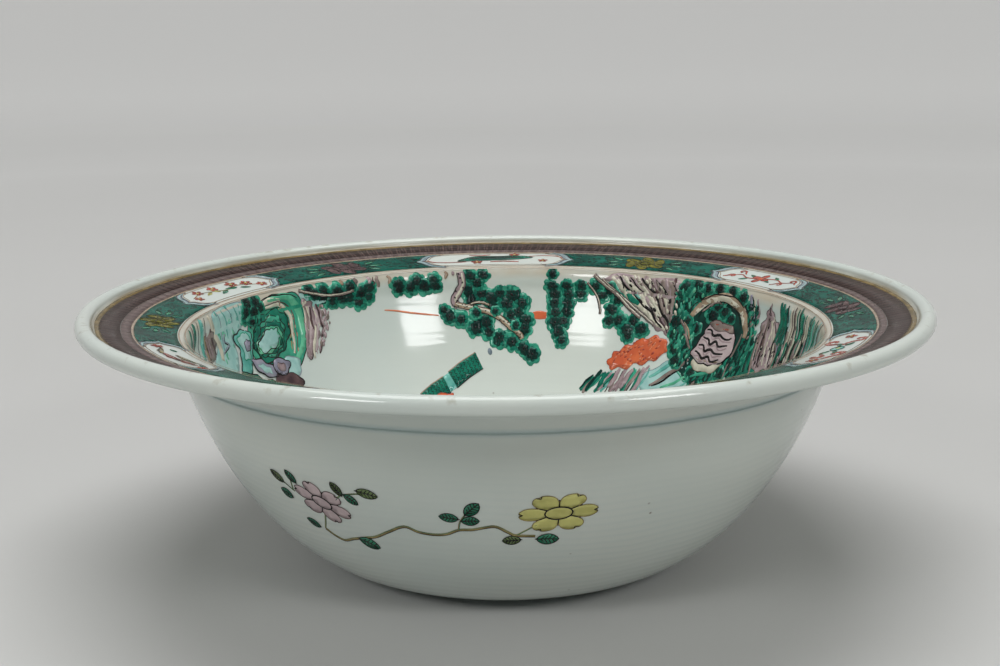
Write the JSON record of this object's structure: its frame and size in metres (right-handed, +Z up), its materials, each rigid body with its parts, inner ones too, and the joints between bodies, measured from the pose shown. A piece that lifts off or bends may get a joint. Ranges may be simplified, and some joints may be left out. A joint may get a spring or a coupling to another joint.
{
  "type": "barber's basin",
  "caption": "Round porcelain basin with a wide sloping rim, rolled lip and low foot ring, painted in green-family overglaze enamels.",
  "frame": {"origin": "middle of the foot ring's underside, on the surface that the basin stands on", "axes": "+Z up along the axis of revolution, front of the basin towards -Y"},
  "size_m": [0.3798, 0.3798, 0.12],
  "materials": {
    "glazed_porcelain": "glossy pale glaze with a faint cold tint and fine turning lines",
    "rim_line_tan": "worn tan line, semi-matte",
    "aubergine_dark": "dark aubergine hatching over a mauve wash, glossy",
    "aubergine_pale": "pale aubergine wash, glossy",
    "ground_green": "black-stippled green enamel, glossy",
    "border_blue": "grey-blue enamel line",
    "iron_red": "iron red, semi-matte",
    "branch_brown": "olive brown line",
    "leaf_green": "green enamel with black veins, glossy",
    "petal_mauve": "mauve enamel with dark outlines, glossy",
    "petal_yellow": "yellow enamel with dark outlines, glossy",
    "rock_turquoise": "turquoise, green and mauve enamels with dark contours",
    "rock_mauve": "mauve and dark green enamels with dark contours",
    "pine_green": "dark green enamel with black needle fans",
    "foliage_red": "orange-red dabs",
    "bank_pale": "pale turquoise wash",
    "bank_green": "green enamel with black strokes"
  },
  "bodies": {
    "root": {"porcelain_body": "glazed_porcelain", "rim_line": "rim_line_tan", "hatched_band": "aubergine_dark", "pale_band": "aubergine_pale", "green_ground_1": "ground_green", "green_ground_2": "ground_green", "green_ground_3": "ground_green", "green_ground_4": "ground_green", "green_ground_5": "ground_green", "green_ground_6": "ground_green", "cartouche_border_1": "border_blue", "cartouche_border_2": "border_blue", "cartouche_border_3": "border_blue", "cartouche_border_4": "border_blue", "cartouche_border_5": "border_blue", "cartouche_border_6": "border_blue", "cartouche_sprig_1": "iron_red", "cartouche_sprig_2": "iron_red", "cartouche_sprig_3": "iron_red", "cartouche_sprig_4": "iron_red", "cartouche_sprig_5": "iron_red", "cartouche_sprig_6": "iron_red", "front_branch": "branch_brown", "front_leaves_upper_left": "leaf_green", "front_leaves_upper_right": "leaf_green", "front_leaves_under_bloom": "leaf_green", "front_leaves_low": "leaf_green", "front_leaves_middle": "leaf_green", "front_leaves_right_inner": "leaf_green", "front_leaves_right_outer": "leaf_green", "front_mauve_bloom": "petal_mauve", "front_mauve_heart": "petal_mauve", "front_yellow_bloom": "petal_yellow", "front_yellow_heart": "petal_yellow", "back_branch": "branch_brown", "back_leaves_upper_left": "leaf_green", "back_leaves_upper_right": "leaf_green", "back_leaves_under_bloom": "leaf_green", "back_leaves_low": "leaf_green", "back_leaves_middle": "leaf_green", "back_leaves_right_inner": "leaf_green", "back_leaves_right_outer": "leaf_green", "back_mauve_bloom": "petal_mauve", "back_mauve_heart": "petal_mauve", "back_yellow_bloom": "petal_yellow", "back_yellow_heart": "petal_yellow", "rocks_left": "rock_turquoise", "rocks_right": "rock_mauve", "pine_left": "pine_green", "pine_centre": "pine_green", "pine_right": "pine_green", "red_foliage": "foliage_red", "bank_right": "bank_pale", "bank_centre": "bank_green"}
  },
  "joints": []
}
